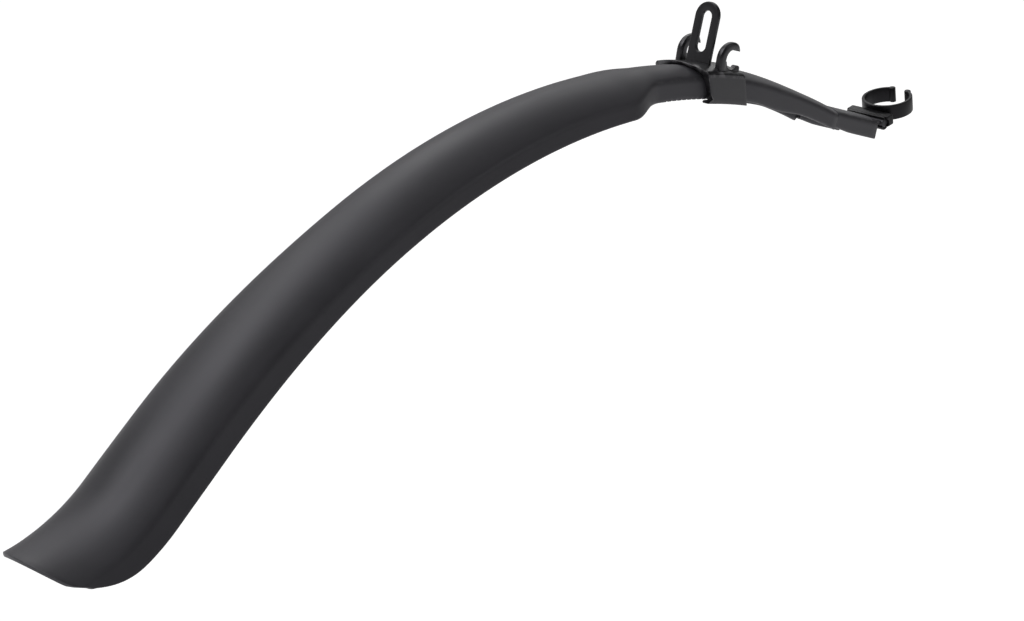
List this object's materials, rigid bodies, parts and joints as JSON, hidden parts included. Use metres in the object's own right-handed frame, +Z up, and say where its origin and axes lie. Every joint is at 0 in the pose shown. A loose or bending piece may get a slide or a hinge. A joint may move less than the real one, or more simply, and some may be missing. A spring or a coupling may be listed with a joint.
{
  "type": "rear bicycle mudguard",
  "caption": "Rear bicycle mudguard: long arched blade with a flared tail, toothed neck, hooked bracket with a slotted tab, and an open seat-tube clip.",
  "frame": {"origin": "middle of the bolt slot in the bracket's upright tab", "axes": "+X forward to the seat tube, +Y to the left, +Z up along the slot and away from the wheel axle"},
  "size_m": [0.5896, 0.063, 0.2652],
  "materials": {
    "blade_plastic": "satin black moulding",
    "fitting_plastic": "satin black moulding, a little glossier"
  },
  "bodies": {
    "bracket": {"bridge_bracket": "fitting_plastic"},
    "blade": {"blade": "blade_plastic"},
    "clip": {"seat_tube_clip": "fitting_plastic"}
  },
  "joints": [
    {"name": "neck_slide", "type": "hinge", "parent": "bracket", "child": "blade", "pos_m": [0, 0, -0.4358], "axis": [0, 1, 0], "range_deg": [0, 4]},
    {"name": "clip_pivot", "type": "hinge", "parent": "blade", "child": "clip", "pos_m": [0.16047, 0, -0.045], "axis": [0, 1, 0], "range_deg": [-20, 20]}
  ]
}
